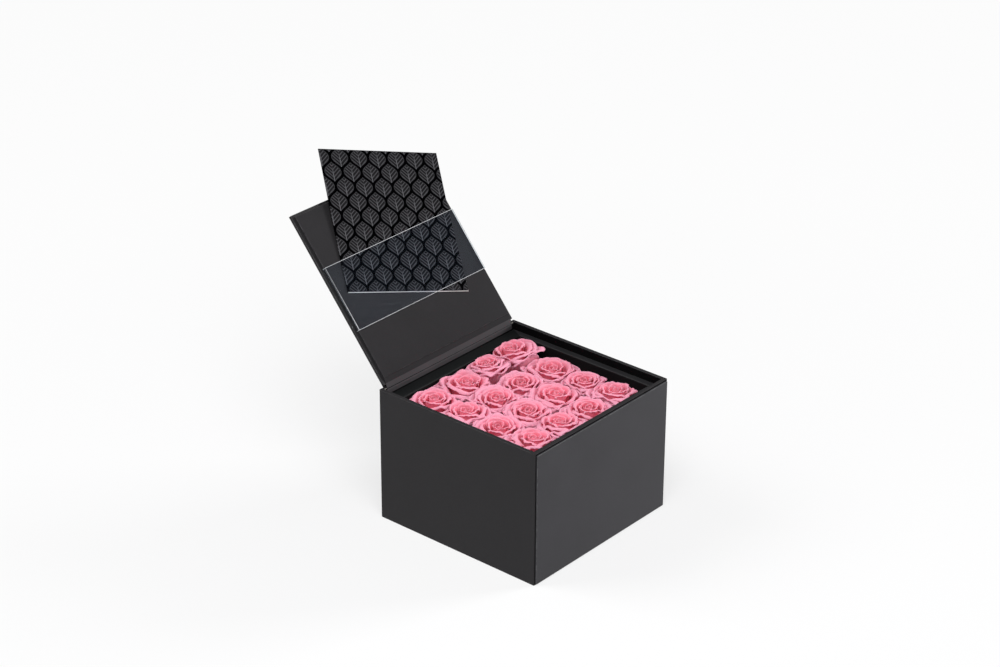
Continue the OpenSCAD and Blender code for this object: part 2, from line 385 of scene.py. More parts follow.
def buildPaperGrain():
    # felt-like fibres, slow mottling and rubbed folds of a soft dark paper; the folds are lightened partly
    # for wear and partly as a painted highlight
    group, source, result = newGroup(
        "paperGrain",
        [("Vector", "NodeSocketVector", None), ("Fold", "NodeSocketFloat", 0.0),
         ("RubAndSheen", "NodeSocketFloat", 0.5)],
        [("Fibre", "NodeSocketFloat"), ("Mottle", "NodeSocketFloat"), ("WornAndSheen", "NodeSocketFloat")])
    point = source.outputs["Vector"]
    fine = addNoise(group, point, *grain["fine"])
    fibre = addNoise(group, addStretch(group, point, grain["fibreStretch"]), *grain["fibre"])
    fine = addMath(group, "MULTIPLY", fine, grain["fineShare"])
    both = addMath(group, "MULTIPLY_ADD", fibre, grain["fibreShare"], fine)
    patchy = addPatches(group, point, *grain["foldWearSheen"], grain["foldWearSheenFrom"], grain["foldWearSheenTo"])
    foldWearSheen = addMath(group, "MULTIPLY", source.outputs["Fold"], source.outputs["RubAndSheen"])
    group.links.new(both, result.inputs["Fibre"])
    group.links.new(addPatches(group, point, *grain["mottle"]), result.inputs["Mottle"])
    group.links.new(addMath(group, "MULTIPLY", foldWearSheen, patchy, clamp=True), result.inputs["WornAndSheen"])
    return group


paperGrain = buildPaperGrain()


def paperMaterial(name, look):
    material, tree, shader = newMaterial(name)
    made = placeGroup(tree, paperGrain, {"Vector": objectPoint(tree),
                                         "Fold": readMark(tree, "fold"), "RubAndSheen": look["rubAndSheen"]})
    fibre, mottle, wornAndSheen = (made.outputs[label] for label in ("Fibre", "Mottle", "WornAndSheen"))
    fleck = addRange(tree, fibre, grain["fleckFrom"], grain["fleckTo"], 0, look["fleck"])
    tone = addMix(tree, mottle, look["dark"], look["light"])
    tone = addMix(tree, fleck, tone, look["fleckColor"])
    # rubbed folds are lightened, partly for wear and partly as a painted highlight along the fold
    tone = addMix(tree, wornAndSheen, tone, look["wornSheenColor"])
    tree.links.new(tone, shader.inputs["Base Color"])
    gloss = addRange(tree, mottle, 0, 1, look["rough"] + grain["smoother"],
                     look["rough"] + grain["rougher"])
    tree.links.new(gloss, shader.inputs["Roughness"])
    shader.inputs["Specular IOR Level"].default_value = look["specular"]
    addBump(tree, shader, fibre, look["bump"], grain["depth"])
    return material


# painted light: the front panel's paper is painted lighter than the wrap's, for the stronger light that
# falls on the box's front
fasciaLitLook = {"dark": (0.0243, 0.0235, 0.0269), "light": (0.0334, 0.0325, 0.0366), "rubAndSheen": 0.8,
              "fleck": 0.35, "fleckColor": (0.058, 0.057, 0.061), "wornSheenColor": (0.11, 0.11, 0.115),
              "rough": 0.6, "specular": 0.2, "bump": 0.6}
fasciaLitPaper = paperMaterial("fasciaLitPaper", fasciaLitLook)

# painted shade: a near-black sheet for the seams and the lining of the recess, standing in for the shade
# there
paintedShadeLook = {"dark": (0.0022, 0.002, 0.0024), "light": (0.0032, 0.003, 0.0034), "rubAndSheen": 0.0,
            "fleck": 0.3, "fleckColor": (0.006, 0.006, 0.006), "wornSheenColor": (0.02, 0.02, 0.02),
            "rough": 0.7, "specular": 0.03, "bump": 0.5}
paintedShadePaper = paperMaterial("paintedShadePaper", paintedShadeLook)

# painted light: the liner is painted lighter than the pad's paper, for the light that its upturned bend
# catches
linerLitLook = {"dark": (0.035, 0.033, 0.036), "light": (0.05, 0.047, 0.051), "rubAndSheen": 0.0,
             "fleck": 0.35, "fleckColor": (0.045, 0.043, 0.046), "wornSheenColor": (0.06, 0.058, 0.061),
             "rough": 0.65, "specular": 0.2, "bump": 0.6}
linerLitPaper = paperMaterial("linerLitPaper", linerLitLook)

wrapLook = {"dark": (0.0122, 0.0113, 0.0125), "light": (0.0171, 0.0161, 0.0175), "rubAndSheen": 0.8,
            "fleck": 0.35, "fleckColor": (0.036, 0.035, 0.037), "wornSheenColor": (0.08, 0.078, 0.082),
            "rough": 0.66, "specular": 0.2, "bump": 0.6}
wrapPaper = paperMaterial("wrapPaper", wrapLook)

padLook = {"dark": (0.0120, 0.0113, 0.0125), "light": (0.0188, 0.0177, 0.0195), "rubAndSheen": 0.7,
           "fleck": 0.4, "fleckColor": (0.032, 0.031, 0.033), "wornSheenColor": (0.06, 0.058, 0.061),
           "rough": 0.78, "specular": 0.12, "bump": 0.7}
padPaper = paperMaterial("padPaper", padLook)

insertLook = {"dark": (0.0125, 0.0122, 0.0135), "light": (0.016, 0.0157, 0.017), "rubAndSheen": 0.0,
              "fleck": 0.3, "fleckColor": (0.022, 0.0215, 0.0225), "wornSheenColor": (0.03, 0.03, 0.03),
              "rough": 0.55, "specular": 0.2, "bump": 0.5}
insertPaper = paperMaterial("insertPaper", insertLook)

# painted shade: the back shelf is painted darker and a little bluer, for the open lid's shade on it
backShelfShadeLook = {"dark": (0.0045, 0.0053, 0.0056), "light": (0.0072, 0.0079, 0.0082), "rubAndSheen": 0.0,
                  "fleck": 0.3, "fleckColor": (0.009, 0.0095, 0.0095),
                  "wornSheenColor": (0.03, 0.03, 0.03), "rough": 0.6, "specular": 0.12, "bump": 0.5}
backShelfShade = paperMaterial("backShelfShade", backShelfShadeLook)

# painted shade: the well's upright faces are painted darker, for the shade down in the well
wellShadeLook = {"dark": (0.005, 0.004, 0.0045), "light": (0.0075, 0.006, 0.0066), "rubAndSheen": 0.0,
            "fleck": 0.3, "fleckColor": (0.01, 0.009, 0.0095), "wornSheenColor": (0.02, 0.02, 0.02),
            "rough": 0.7, "specular": 0.06, "bump": 0.5}
wellShadePaper = paperMaterial("wellShadePaper", wellShadeLook)

# Board, foam and stems: colour and relief follow one mask


def finishFrom(tree, shader, look, mask):
    tone = addMix(tree, mask, look["dark"], look["light"])
    tree.links.new(tone, shader.inputs["Base Color"])
    shader.inputs["Roughness"].default_value = look["rough"]
    if look["bump"]:
        addBump(tree, shader, mask, look["bump"], look["depth"])


boardLook = {"dark": (0.2, 0.185, 0.165), "light": (0.33, 0.31, 0.28), "pulp": (700, 5, 0.7),
             "rough": 0.9, "bump": 0.6, "depth": 0.1}


def boardMaterial():
    # grey pulp board, seen only where no paper covers it
    material, tree, shader = newMaterial("greyBoard")
    finishFrom(tree, shader, boardLook, addPatches(tree, objectPoint(tree), *boardLook["pulp"]))
    return material


foamLook = {"dark": (0.02, 0.05, 0.025), "light": (0.05, 0.105, 0.05), "cells": 900, "wall": 0.6,
            "rough": 0.95, "bump": 0.8, "depth": 0.3}


def foamMaterial():
    # dark wet-look floral foam, full of small open cells
    material, tree, shader = newMaterial("floralFoam")
    cells = tree.nodes.new("ShaderNodeTexVoronoi")
    cells.inputs["Scale"].default_value = foamLook["cells"]
    tree.links.new(objectPoint(tree), cells.inputs["Vector"])
    finishFrom(tree, shader, foamLook, addRange(tree, cells.outputs["Distance"], 0.0,
                                                foamLook["wall"]))
    return material


stemLook = {"dark": (0.05, 0.1, 0.025), "light": (0.13, 0.2, 0.06), "streak": (900, 4, 0.6),
            "stretch": (1, 1, 0.12), "rough": 0.6, "bump": 0.5, "depth": 0.1}


def stemMaterial():
    material, tree, shader = newMaterial("stem")
    point = addStretch(tree, objectPoint(tree), stemLook["stretch"])
    finishFrom(tree, shader, stemLook, addPatches(tree, point, *stemLook["streak"]))
    return material


# fades are two places along the petal and how much of the colour there is at each; the veins
# and the blotches are scale, detail, roughness, low and high, and for the blotches the most
petalLook = {"outer": (0.99, 0.51, 0.67), "inner": (0.99, 0.32, 0.42), "rim": (0.97, 0.57, 0.72),
             "foot": (0.99, 0.2, 0.34), "rough": 0.7, "through": 0.42, "heartShare": 0.75,
             "innerFade": (0.95, 0.35, 0, 0.45), "footFade": (0.4, 0.75, 0.8, 0),
             "rimFade": (0.7, 1.0, 0, 0.4), "veinStretch": (16, 1.6, 1),
             "veins": (1.6, 4, 0.65, 0.35, 0.65), "veinShare": 0.16,
             "blotches": (140, 3, 0.5, 0.35, 0.7, 0.25), "bump": 0.35, "depth": 0.12}


def petalMaterial():
    # pale rims, warmer towards the heart and down the petal, with fine veins along it
    material, tree, shader = newMaterial("petal")
    uv, _, along = readUv(tree, "petalUv")
    toHeart = addMath(tree, "MULTIPLY_ADD", readMark(tree, "heart"), petalLook["heartShare"],
                      addRange(tree, along, *petalLook["innerFade"]), clamp=True)
    tone = addMix(tree, toHeart, petalLook["outer"], petalLook["inner"])
    tone = addMix(tree, addRange(tree, along, *petalLook["footFade"]), tone, petalLook["foot"])
    tone = addMix(tree, addRange(tree, along, *petalLook["rimFade"]), tone, petalLook["rim"])
    veins = addPatches(tree, addStretch(tree, uv, petalLook["veinStretch"]), *petalLook["veins"])
    tone = addMix(tree, addMath(tree, "MULTIPLY", veins, petalLook["veinShare"]), tone,
                  petalLook["inner"])
    blotches = addPatches(tree, objectPoint(tree), *petalLook["blotches"])
    tone = addMix(tree, blotches, tone, petalLook["rim"])
    tree.links.new(tone, shader.inputs["Base Color"])
    shader.inputs["Roughness"].default_value = petalLook["rough"]
    shader.inputs["Specular IOR Level"].default_value = 0.0
    # light comes through the thin petal
    glow = tree.nodes.new("ShaderNodeBsdfTranslucent")
    tree.links.new(tone, glow.inputs["Color"])
    setSurface(tree, mixShaders(tree, petalLook["through"], shader.outputs[0], glow.outputs[0]))
    addBump(tree, shader, veins, petalLook["bump"], petalLook["depth"])
    return material


greyBoard = boardMaterial()
floralFoam = foamMaterial()
stem = stemMaterial()
petal = petalMaterial()

# the print, in millimetres; outline and veinEnd count inwards from the band between the leaves
ogee = {"across": 20.45, "tall": 26.8, "shiftX": 2.9, "shiftY": -4.3, "band": 1.35,
        "soften": 0.1, "outline": (0.65, 0.4), "outlineShare": 0.3, "rib": (0.5, 0.3),
        "ribFade": (5, -2), "veinSlope": 0.85, "veinStep": 3.4, "vein": (0.18, 0.08),
        "veinEnd": (0.5, 0.8), "veinShare": 0.6, "lineShare": 0.8,
        "ground": (0.0006, 0.0006, 0.0008), "leaf": (0.0115, 0.0112, 0.0122),
        "line": (0.115, 0.115, 0.124), "rough": (0.7, 0.85), "tooth": (1500, 3, 0.6),
        "bump": 0.4, "depth": 0.03}


def printMaterial():
    # staggered ogee leaves, drawn on the card's own UV map
    material, tree, shader = newMaterial("cardPrint")
    _, across, upward = readUv(tree, "cardUv")

    def calc(operation, *values, clamp=False):
        return addMath(tree, operation, *values, clamp=clamp)

    def fromBand(ends):
        return addRange(tree, inside, ogee["band"] + ends[0], ogee["band"] + ends[1])

    def leafAt(shiftX, shiftY):
        # offsets from the middle of the nearest leaf, and how far inside its outline
        wide, tall = ogee["across"], ogee["tall"]
        column = calc("WRAP", calc("ADD", across, shiftX), wide / 2, -wide / 2)
        row = calc("WRAP", calc("ADD", upward, shiftY), tall / 2, -tall / 2)
        angle = calc("MULTIPLY", row, 2 * math.pi / tall)
        wave = calc("COSINE", angle)
        full = calc("SINE", calc("MULTIPLY", wave, math.pi / 2))
        shape = calc("ADD", calc("MULTIPLY", wave, 0.5), calc("MULTIPLY", full, 0.5))
        half = calc("MULTIPLY_ADD", shape, wide / 4, wide / 4)
        side = calc("ABSOLUTE", column)
        # a slanting outline is nearer than it looks straight across
        steep = calc("MULTIPLY", calc("SINE", angle), math.pi / 2 * wide / tall)
        lean = calc("SQRT", calc("MULTIPLY_ADD", steep, steep, 1.0))
        return side, row, calc("DIVIDE", calc("SUBTRACT", half, side), lean)

    sideA, rowA, insideA = leafAt(ogee["shiftX"], ogee["shiftY"])
    sideB, rowB, insideB = leafAt(ogee["shiftX"] + ogee["across"] / 2,
                                  ogee["shiftY"] + ogee["tall"] / 2)
    useA = calc("GREATER_THAN", insideA, 0.0)
    useB = calc("SUBTRACT", 1.0, useA)
    side, row, inside = (calc("ADD", calc("MULTIPLY", a, useA), calc("MULTIPLY", b, useB))
                         for a, b in ((sideA, sideB), (rowA, rowB), (insideA, insideB)))
    leaf = fromBand((-ogee["soften"], ogee["soften"]))
    outline = calc("MULTIPLY", fromBand(ogee["outline"]), leaf)
    rib = calc("MULTIPLY", addRange(tree, side, *ogee["rib"]),
               addRange(tree, row, *ogee["ribFade"]))
    slant = calc("MULTIPLY_ADD", side, -ogee["veinSlope"], row)
    phase = calc("FRACT", calc("DIVIDE", slant, ogee["veinStep"]))
    vein = addRange(tree, calc("ABSOLUTE", calc("SUBTRACT", phase, 0.5)), *ogee["vein"])
    vein = calc("MULTIPLY", vein, fromBand(ogee["veinEnd"]))
    drawn = calc("MAXIMUM", calc("MAXIMUM", calc("MULTIPLY", outline, ogee["outlineShare"]),
                                 calc("MULTIPLY", vein, ogee["veinShare"])),
                 calc("MULTIPLY", rib, leaf))
    tone = addMix(tree, leaf, ogee["ground"], ogee["leaf"])
    tone = addMix(tree, calc("MULTIPLY", drawn, ogee["lineShare"], clamp=True), tone, ogee["line"])
    tree.links.new(tone, shader.inputs["Base Color"])
    tree.links.new(addRange(tree, leaf, 0, 1, *ogee["rough"]), shader.inputs["Roughness"])
    shader.inputs["Specular IOR Level"].default_value = 0.0
    tooth = addNoise(tree, objectPoint(tree), *ogee["tooth"])
    addBump(tree, shader, tooth, ogee["bump"], ogee["depth"])
    return material


coreLook = {"dark": (0.8, 0.8, 0.79), "light": (0.93, 0.93, 0.92), "fibre": (1800, 4, 0.7),
            "rough": 0.8, "bump": 0}


def coreMaterial():
    # the card's white pulp edge
    material, tree, shader = newMaterial("cardCore")
    finishFrom(tree, shader, coreLook, addPatches(tree, objectPoint(tree), *coreLook["fibre"]))
    return material


filmLook = {"color": (0.88, 0.92, 0.95), "ior": 1.27, "tint": (0.3, 0.48, 0.8),
            "smear": (60, 4, 0.6), "rough": 0.012, "clear": (0.95, 0.97, 1.0)}


def filmMaterial():
    material, tree, shader = newMaterial("clearFilm")
    shader.inputs["Base Color"].default_value = (*filmLook["color"], 1)
    shader.inputs["Transmission Weight"].default_value = 1
    shader.inputs["IOR"].default_value = filmLook["ior"]
    shader.inputs["Specular Tint"].default_value = (*filmLook["tint"], 1)
    smear = addPatches(tree, objectPoint(tree), *filmLook["smear"], most=filmLook["rough"])
    tree.links.new(smear, shader.inputs["Roughness"])
    # light passes the film on its way to what lies under it
    path = tree.nodes.new("ShaderNodeLightPath")
    passes = addMath(tree, "MAXIMUM", path.outputs["Is Shadow Ray"],
                     path.outputs["Is Diffuse Ray"])
    clear = tree.nodes.new("ShaderNodeBsdfTransparent")
    clear.inputs["Color"].default_value = (*filmLook["clear"], 1)
    setSurface(tree, mixShaders(tree, passes, shader.outputs[0], clear.outputs[0]))
    return material


# the edges' brightness is a painted highlight; cut and fold are two heights in metres and how bright the
# edge is at each
filmEdgeLook = {"dark": (0.5, 0.52, 0.55), "light": (0.9, 0.92, 0.95),
                "unlit": (0.03, 0.03, 0.032), "nick": (700, 3, 0.6), "rough": 0.25,
                "cut": (0.1, 0.3, 0.6, 0.85), "fold": (0.165, 0.2, 0.75, 0.22)}


def filmEdgeMaterial(name, glare):
    # the cut edge and folds of clear sheet, whose glint is a painted highlight in the colour, brighter at
    # one height than at another
    material, tree, shader = newMaterial(name)
    point = objectPoint(tree)
    nick = addPatches(tree, point, *filmEdgeLook["nick"])
    tone = addMix(tree, nick, filmEdgeLook["dark"], filmEdgeLook["light"])
    split = tree.nodes.new("ShaderNodeSeparateXYZ")
    tree.links.new(point, split.inputs[0])
    tone = addMix(tree, addRange(tree, split.outputs["Z"], *glare), filmEdgeLook["unlit"], tone)
    tree.links.new(tone, shader.inputs["Base Color"])
    shader.inputs["Roughness"].default_value = filmEdgeLook["rough"]
    return material


cardPrint = printMaterial()
cardCore = coreMaterial()
clearFilm = filmMaterial()
filmEdgeGlint = filmEdgeMaterial("filmEdgeGlint", filmEdgeLook["cut"])
filmFoldGlint = filmEdgeMaterial("filmFoldGlint", filmEdgeLook["fold"])

finishes = {"wrap_paper": wrapPaper, "lining_paper": padPaper, "insert_paper": insertPaper,
            "greyboard": greyBoard, "floral_foam": floralFoam, "stem": stem, "petals": petal,
            "clear_film": clearFilm, "printed_card": cardPrint}
for part in frame["record"]["subparts"]:
    piece = frame["nodes"][part["node"]]
    piece.data.materials.clear()
    piece.data.materials.append(finishes[part["material_slot"]])
print("materials made")

# The box's papers: the CAD sheets with their folds rounded

# folds above rim are rounded, and so are those below foot that lie outside outerX or outerY;
# the lining is painted dark above deep, as painted shade in the recess, and so is the front wall, which lies
# in front of seam, as a painted shadow along the fascia's seam
tray = {"fold": 0.55, "rim": 123, "foot": 0.05, "outerX": 87, "outerY": 84.9, "deep": 100,
        "seam": -84}


def addTray():
    bm = copyOfNode("tray_wrap")
    edges = []
    for edge in sharpEdges(bm):
        middle = (edge.verts[0].co + edge.verts[1].co) / 2 / mm
        outer = abs(middle.x) > tray["outerX"] or abs(middle.y) > tray["outerY"]
        if middle.z > tray["rim"] or (middle.z < tray["foot"] and outer):
            edges.append(edge)
    roundEdges(bm, edges, tray["fold"] * mm)
    for face in bm.faces:
        middle, normal = face.calc_center_median() / mm, face.normal
        facesIn = abs(normal.z) < 0.1 and middle.xy.dot(normal.xy) < 0
        roundFascia = normal.y < -0.9 and middle.y < tray["seam"]
        # painted shade: the recess's inner walls and the front wall's border round the fascia take the
        # near-black sheet
        if (facesIn and middle.z > tray["deep"]) or roundFascia:
            face.material_index = 1
    makePiece("trayPaper", bm, [wrapPaper, paintedShadePaper], "box", ["tray_wrap"])


fascia = {"fold": 0.45, "front": -86.5}


def addFascia():
    bm = copyOfNode("fascia_wrap")
    edges = [e for e in sharpEdges(bm)
             if all(abs(v.co.y / mm - fascia["front"]) < 0.01 for v in e.verts)]
    roundEdges(bm, edges, fascia["fold"] * mm)
    makePiece("fasciaSheet", bm, [fasciaLitPaper], "box", ["fascia_wrap"])


lidSheet = {"node": "lid_wrap", "slot": "wrap_paper", "fold": 0.5}
padSheet = {"node": "pad_wrap", "slot": "lining_paper", "fold": 0.45}


def isOuterFold(edge, low, high):
    # it lies on two sides of the box that runs from low to high
    sides = [all(abs(v.co[i] - end[i]) < 0.02 * mm for v in edge.verts)
             for i in range(3) for end in (low, high)]
    return sum(sides) == 2


def addLidPaper(name, sheet, finish):
    # it lies round its board, so only the outer folds are rounded
    bm = copyOfNode(sheet["node"])
    turnAll(bm, swingShut)
    low, high = ([end(v.co[i] for v in bm.verts) for i in range(3)] for end in (min, max))
    roundEdges(bm, [e for e in sharpEdges(bm) if isOuterFold(e, low, high)], sheet["fold"] * mm)
    turnAll(bm, swingOpen)
    makePiece(name, bm, [finish], "lid", [sheet["node"]])


# past wellSide the right shelf keeps this share of its width; upright: how steep a face counts
insert = {"wall": 83.9, "wellSide": 73, "shelf": 0.6, "upright": 0.4}


def addInsert():
    # four mitred shelves round the well; their upright faces get a darker sheet as painted shade down in the
    # well, and the back shelf is painted darker for the lid's shade
    for side, look in (("back", backShelfShade), ("front", insertPaper), ("left", insertPaper),
                       ("right", insertPaper)):
        bm = copyOfNode("insert_" + side)
        for vert in bm.verts:
            if vert.co.x > insert["wellSide"] * mm:
                vert.co.x += (insert["wall"] * mm - vert.co.x) * (1 - insert["shelf"])
        for face in bm.faces:
            face.normal_update()
            face.material_index = 1 if abs(face.normal.z) < insert["upright"] else 0
        makePiece("shelf" + side.capitalize(), bm, [look, wellShadePaper], "box",
                  ["insert_" + side])


addTray()
addFascia()
addLidPaper("lidPaper", lidSheet, wrapPaper)
addLidPaper("padPaper", padSheet, padPaper)
addInsert()
print("papers folded round the boards")

# The hinge liner: one strip from the back shelf up the wall and on under the pad, bent open

# foot: heights up the back wall; lid: y and z on the closed lid, from the bend to under the pad;
# seam: how far past the bend the pad's paper starts; deep: below it the foot is painted dark, a painted
# shadow where the liner meets the shelf
liner = {"half": 81.05, "thick": 0.3, "steps": 7, "wall": 82.6, "foot": (116.9, 118.3, 121.8),
         "lid": ((81.4, 120.75), (79.2, 120.2), (77.2, 119.75), (76.5, 119.5)),
         "seam": 0.2, "deep": 118.2}


def addLiner():
    foot = [Vector((0, liner["wall"], z)) for z in liner["foot"]]
    lidSide = [swingOpen @ Vector((0, y * mm, z * mm)) / mm for y, z in liner["lid"]]
    start, end = foot[-1], lidSide[0]
    bend = [start.lerp(end, t / liner["steps"]) for t in range(1, liner["steps"])]
    bm = bmesh.new()
    _, edges = drawLine(bm, [(-liner["half"] * mm, p.y * mm, p.z * mm)
                             for p in foot + bend + lidSide])
    moved, _ = drawOut(bm, edges)
    bmesh.ops.translate(bm, vec=(2 * liner["half"] * mm, 0, 0), verts=moved)
    thicken(bm, liner["thick"] * mm)
    # the strip is painted dark along the shelf, a painted shadow at its foot, and takes the pad's paper on
    # the lid
    seam = end.z + liner["seam"]
    for face in bm.faces:
        height = face.calc_center_median().z / mm
        if abs(face.normal.x) < 0.7:
            face.material_index = 2 if height > seam else 1 if height < liner["deep"] else 0
    piece = makePiece("hingeLiner", bm, [linerLitPaper, paintedShadePaper, padPaper], None,
                      ["hinge_liner", "liner_foot"])
    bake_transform(piece, "box", "lid", start=(0, start.y * mm, start.z * mm),
             end=(0, end.y * mm, end.z * mm))


addLiner()
print("hinge liner bent across the joint")

# The card: one sheet folded at its left edge, printed outside and white inside

# thick is the folded card and sheet one leaf; the front leaf stops short of the back one by
# lowerShows and rightShows; skin: how near the outside counts as printed; bow: how far the
# raised corner comes off the lid; keep: the share of its height left when the lid is closed
cardSheet = {"half": 65, "thick": 0.95, "sheet": 0.36, "x": 12, "y": -40.2, "z": 118.8,
             "turn": 20, "steps": 12, "foldSteps": 5, "lowerShows": 0.35, "rightShows": 0.5,
             "skin": 0.08, "bow": 5.8, "bowFrom": 110, "bowCurve": 1.15, "keep": 0.25}


def foldCard(bm):
    # drawn upright: x to the right, y up the card, z off the lid towards the viewer
    half, middle, steps = cardSheet["half"], cardSheet["thick"] / 2, cardSheet["steps"]
    bend = middle - cardSheet["sheet"] / 2
    spine = middle - half
    right = half - cardSheet["rightShows"]
    front = [(mixed(right, spine, i / steps), -half, middle + bend) for i in range(steps + 1)]
    angles = [math.pi * i / cardSheet["foldSteps"] for i in range(1, cardSheet["foldSteps"])]
    fold = [(spine - bend * math.sin(a), -half, middle + bend * math.cos(a)) for a in angles]
    back = [(mixed(spine, half, i / steps), -half, middle - bend) for i in range(steps + 1)]
    row, edges = drawLine(bm, front + fold + back)
    for vert in row[:steps + 1]:
        vert.co.y += cardSheet["lowerShows"]
    for number in range(steps):
        moved, edges = drawOut(bm, edges)
        for vert in moved:
            vert.co.y += (half - vert.co.y) / (steps - number)
    bmesh.ops.recalc_face_normals(bm, faces=bm.faces)
    outward = sum(f.normal.z * (f.calc_center_median().z - middle) for f in bm.faces)
    if outward < 0:
        bmesh.ops.reverse_faces(bm, faces=bm.faces)
    for vert in bm.verts:
        vert.co += vert.normal * cardSheet["sheet"] / 2
    thicken(bm, cardSheet["sheet"])


def printCard(bm):
    middle = cardSheet["thick"] / 2
    spine = middle - cardSheet["half"]
    uv = bm.loops.layers.uv.new("cardUv")
    for face in bm.faces:
        point = face.calc_center_median()
        foldLine = Vector((spine, point.y, middle))
        off = (point - foldLine).length if point.x < spine else abs(point.z - middle)
        printed = off > middle - cardSheet["skin"] and abs(face.normal.y) < 0.5
        face.material_index = 0 if printed else 1
        for loop in face.loops:
            loop[uv].uv = (loop.vert.co.x, loop.vert.co.y)


def addCard():
    bm = bmesh.new()
    foldCard(bm)
    printCard(bm)
    # the corner far from the hinge bows off the lid
    turn, start = math.radians(cardSheet["turn"]), cardSheet["bowFrom"]
    far = hinge["y"] / mm - cardSheet["y"]
    for vert in bm.verts:
        up = far + vert.co.y * math.cos(turn) - vert.co.x * math.sin(turn)
        vert.co.z += cardSheet["bow"] * max(0, (up - start) / start) ** cardSheet["bowCurve"]
    place = (Matrix.Scale(mm, 4)
             @ Matrix.Translation((cardSheet["x"], cardSheet["y"], cardSheet["z"]))
             @ Matrix.Rotation(turn, 4, "Z") @ Matrix.Rotation(math.pi, 4, "X"))
    turnAll(bm, swingOpen @ place)
    piece = makePiece("printedCard", bm, [cardPrint, cardCore], "card", ["card"])
    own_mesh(piece)


addCard()
print("card placed")

# The clear band: one bent sheet across the pad, with a painted highlight on its long cut edges and its folds

band = {"far": -28.5, "near": 31.5, "half": 81.2, "top": 117.25, "foot": 121.1, "thick": 0.3,
        "edge": 0.32, "bendRadius": 0.5, "bendShare": 0.7}


def addBand():
    bm = bmesh.new()
    half, far, near = band["half"], band["far"], band["near"]
    corners = [(-half, band["foot"]), (-half, band["top"]), (half, band["top"]),
               (half, band["foot"])]
    row, edges = drawLine(bm, [(x, far, z) for x, z in corners])
    bmesh.ops.bevel(bm, geom=row[1:3], offset=band["bendRadius"], offset_type="OFFSET",
                    segments=4, profile=0.5, affect="VERTICES", material=-1)
    edges, at = bm.edges[:], far
    for stop in (far + band["edge"], near - band["edge"], near):
        moved, edges = drawOut(bm, edges)
        bmesh.ops.translate(bm, vec=(0, stop - at, 0), verts=moved)
        at = stop
    bmesh.ops.recalc_face_normals(bm, faces=bm.faces)
    thicken(bm, band["thick"])
    for face in bm.faces:
        middle = face.calc_center_median()
        inEdge = middle.y < far + band["edge"] or middle.y > near - band["edge"]
        inBend = (abs(middle.x) > half - band["bendRadius"]
                  and middle.z < band["top"] + band["bendRadius"] * band["bendShare"])
        face.material_index = 1 if inEdge else 2 if inBend else 0
    turnAll(bm, swingOpen @ Matrix.Scale(mm, 4))
    makePiece("clearBand", bm, [clearFilm, filmEdgeGlint, filmFoldGlint], "lid",
              ["clear_band"])


addBand()
print("clear band bent round the pad")

# The roses: where they stand in the well, and what presses on them

# squeeze, gap and weave: how soon a petal gives way, and how far the faces between two blooms
# stand apart and waver; lid and flatten: the closed lid; above the shelf a petal may lean out
# over the back shelf, overhang at most; near: blooms closer than this touch
bed = {"pitchX": 37, "pitchY": 35.8, "middleY": -0.35, "top": 117.4, "left": -73.4,
       "right": 72.4, "front": -71.1, "back": 70.4, "squeeze": 3.0, "gap": 0.15, "weave": 6.0,
       "swayScale": 0.07, "lid": 116.7, "flatten": 2.0, "shelf": 117.2, "overhang": 5,
       "overhangRise": 1.6, "near": 56}
# radius, then how far right and back of its place each bloom stands; rows from the back
blooms = [
    [(17, 0.5, 0), (19, 1, -1.8), (16, 0, 1.5), (19, -3, -0.4)],
    [(17.5, 0.5, 0), (16, 0, -1.6), (16.5, -1.5, 0), (19, -2.8, -4.0)],
    [(17.5, 0.5, 0), (17, 0, 0), (18.5, -0.5, 0), (15.5, -1.4, -2.8)],
    [(17, 1, 0), (17, 0.5, 0), (17, 0, 0), (17.3, -0.6, 0)],
]
# how far open each bloom is
openings = [1.0, 1.05, 0.92, 1.1, 1.0, 1.05, 0.9, 1.1,
            1.0, 0.95, 1.08, 0.92, 1.05, 0.98, 0.95, 1.0]
# how far each head leans towards the front and towards the right, in degrees
leans = [(3, -2), (2, 3), (-9, -3), (-11, -4),
         (-2, 4), (5, -2), (3, -6), (2, 1),
         (4, -4), (5, -2), (2, 3), (3, -4),
         (2, 5), (-4, 3), (4, -3), (-2, 4)]
# three blooms of the back row stand taller
lifts = {1: 1, 2: 3.2, 3: 5}


def bloomAt(index):
    row, column = divmod(index, 4)
    radius, right, back = blooms[row][column]
    x = (column - 1.5) * bed["pitchX"] + right
    y = bed["middleY"] + (1.5 - row) * bed["pitchY"] + back
    return Vector((x, y)), radius


def pressed(reach, limit, squeeze):
    # how far out a petal gets where something limit away presses on it
    free = limit - squeeze
    if reach <= free:
        return reach
    return free + squeeze * (1 - math.exp((free - reach) / squeeze))


